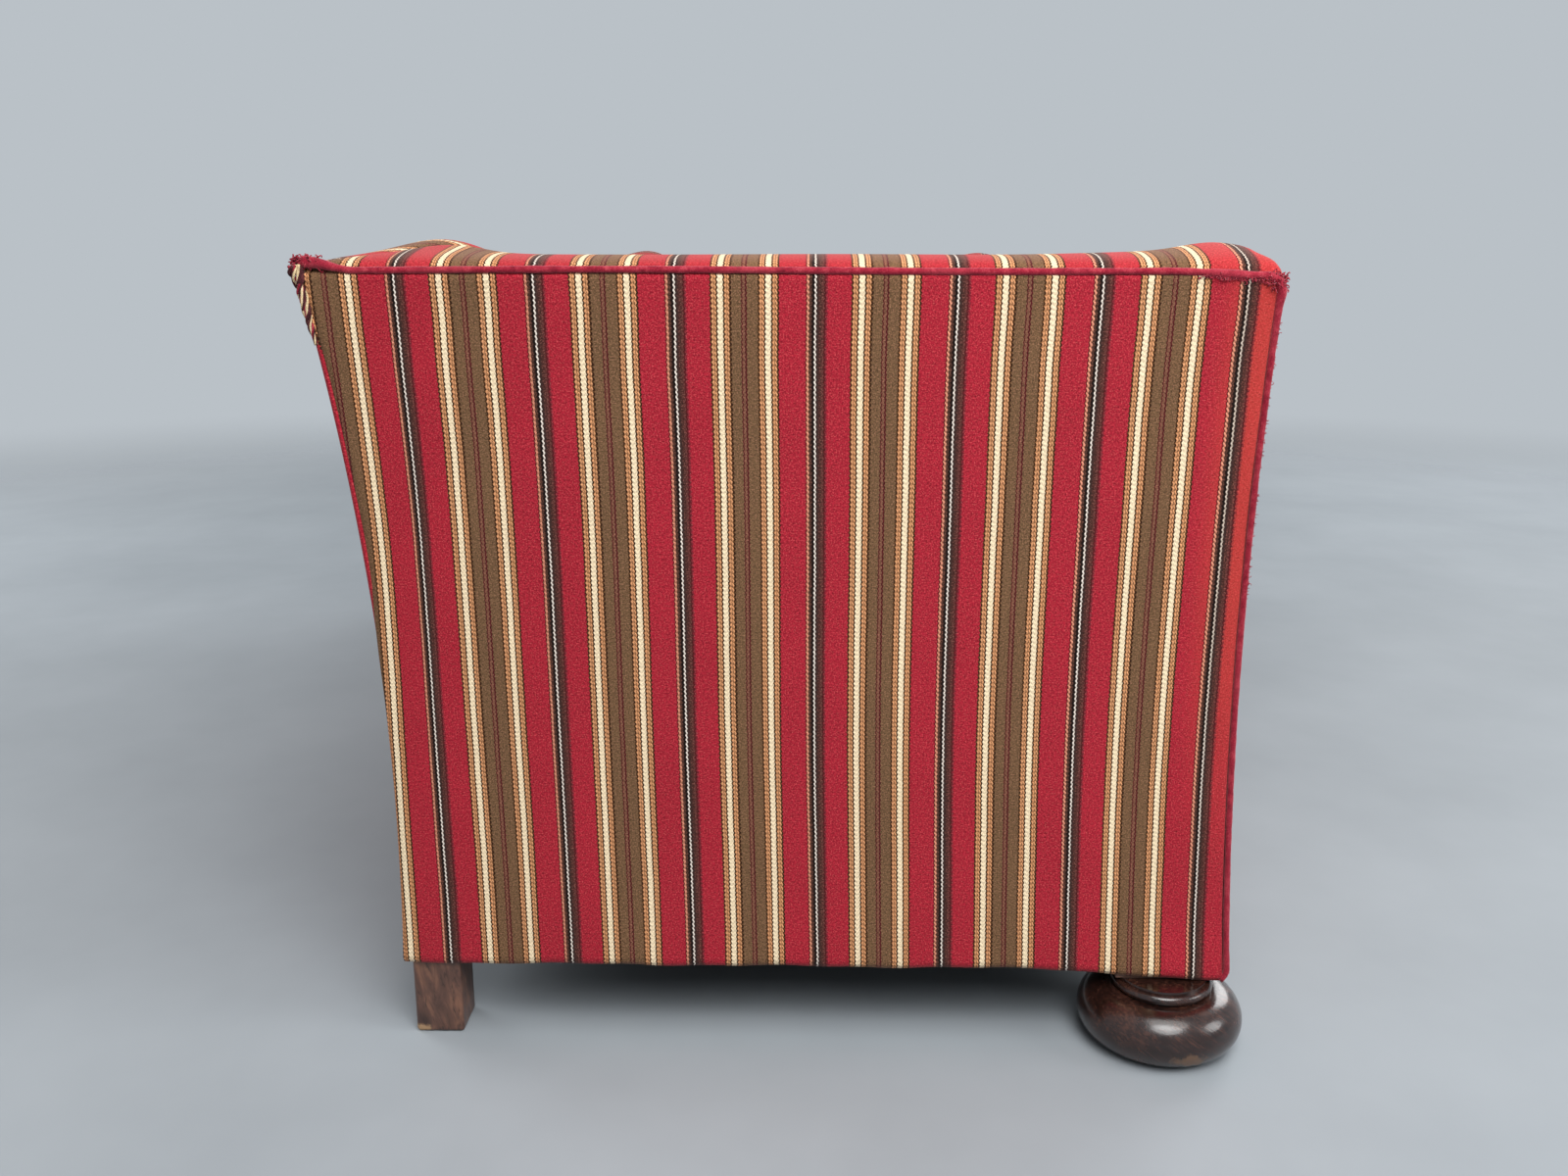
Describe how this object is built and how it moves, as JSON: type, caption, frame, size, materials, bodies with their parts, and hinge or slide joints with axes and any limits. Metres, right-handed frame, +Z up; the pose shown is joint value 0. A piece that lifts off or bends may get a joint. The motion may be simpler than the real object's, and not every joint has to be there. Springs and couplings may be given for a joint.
{
  "type": "sofa",
  "caption": "Box-shaped upholstered sofa in striped wool with hollow-curved outside panels, level padded arms and back, loose seat cushions and turned front feet.",
  "frame": {"origin": "on the floor, under the middle of the whole sofa", "axes": "+X along the length, to the right as seen from the front; -Y towards the front; +Z up"},
  "size_m": [1.9764, 0.8785, 0.7618],
  "materials": {
    "striped_wool": "matte",
    "welt_wool": "matte",
    "bun_wood": "satin",
    "leg_wood": "satin",
    "frame_wood": "matte",
    "spring_steel": "satin",
    "jute": "matte",
    "deck_cloth": "matte",
    "black_lining": "matte"
  },
  "bodies": {
    "frame": {"arm_front_pad_left": "striped_wool", "arm_front_pad_right": "striped_wool", "arm_hessian_left": "jute", "arm_hessian_right": "jute", "arm_stuffing_rail_left": "frame_wood", "arm_stuffing_rail_right": "frame_wood", "arm_top_pad_left": "striped_wool", "arm_top_pad_right": "striped_wool", "arm_top_rail_left": "frame_wood", "arm_top_rail_right": "frame_wood", "arm_welt_left": "welt_wool", "arm_welt_right": "welt_wool", "back_stuffing_rail": "frame_wood", "back_top_pad": "striped_wool", "back_top_rail": "frame_wood", "back_upright_left": "frame_wood", "back_upright_right": "frame_wood", "back_webbing": "jute", "back_welt": "welt_wool", "bun_foot_left": "bun_wood", "bun_foot_right": "bun_wood", "corner_blocks": "frame_wood", "dust_cover": "black_lining", "foot_bolts": "spring_steel", "frame_dowels": "frame_wood", "front_post_left": "frame_wood", "front_post_right": "frame_wood", "inside_arm_pad_left": "striped_wool", "inside_arm_pad_right": "striped_wool", "inside_back_pad": "striped_wool", "outside_arm_cover_left": "striped_wool", "outside_arm_cover_right": "striped_wool", "outside_back_cover": "striped_wool", "rear_post_left": "leg_wood", "rear_post_right": "leg_wood", "seat_cross_rail_left": "frame_wood", "seat_cross_rail_right": "frame_wood", "seat_deck_pad": "deck_cloth", "seat_end_rail_left": "frame_wood", "seat_end_rail_right": "frame_wood", "seat_front_border": "striped_wool", "seat_front_rail": "frame_wood", "seat_rear_rail": "frame_wood", "seat_springs": "spring_steel", "seat_webbing_crosswise": "jute", "seat_webbing_lengthwise": "jute", "spring_hessian": "jute"},
    "seat_cushion_left": {"seat_cushion_left": "striped_wool"},
    "seat_cushion_centre": {"seat_cushion_centre": "striped_wool"},
    "seat_cushion_right": {"seat_cushion_right": "striped_wool"}
  },
  "joints": [
    {"name": "seat_cushion_left_lift", "type": "slide", "parent": "frame", "child": "seat_cushion_left", "axis": [0, 0, 1], "range_m": [0, 0.48]},
    {"name": "seat_cushion_centre_lift", "type": "slide", "parent": "frame", "child": "seat_cushion_centre", "axis": [0, 0, 1], "range_m": [0, 0.48]},
    {"name": "seat_cushion_right_lift", "type": "slide", "parent": "frame", "child": "seat_cushion_right", "axis": [0, 0, 1], "range_m": [0, 0.48]}
  ]
}
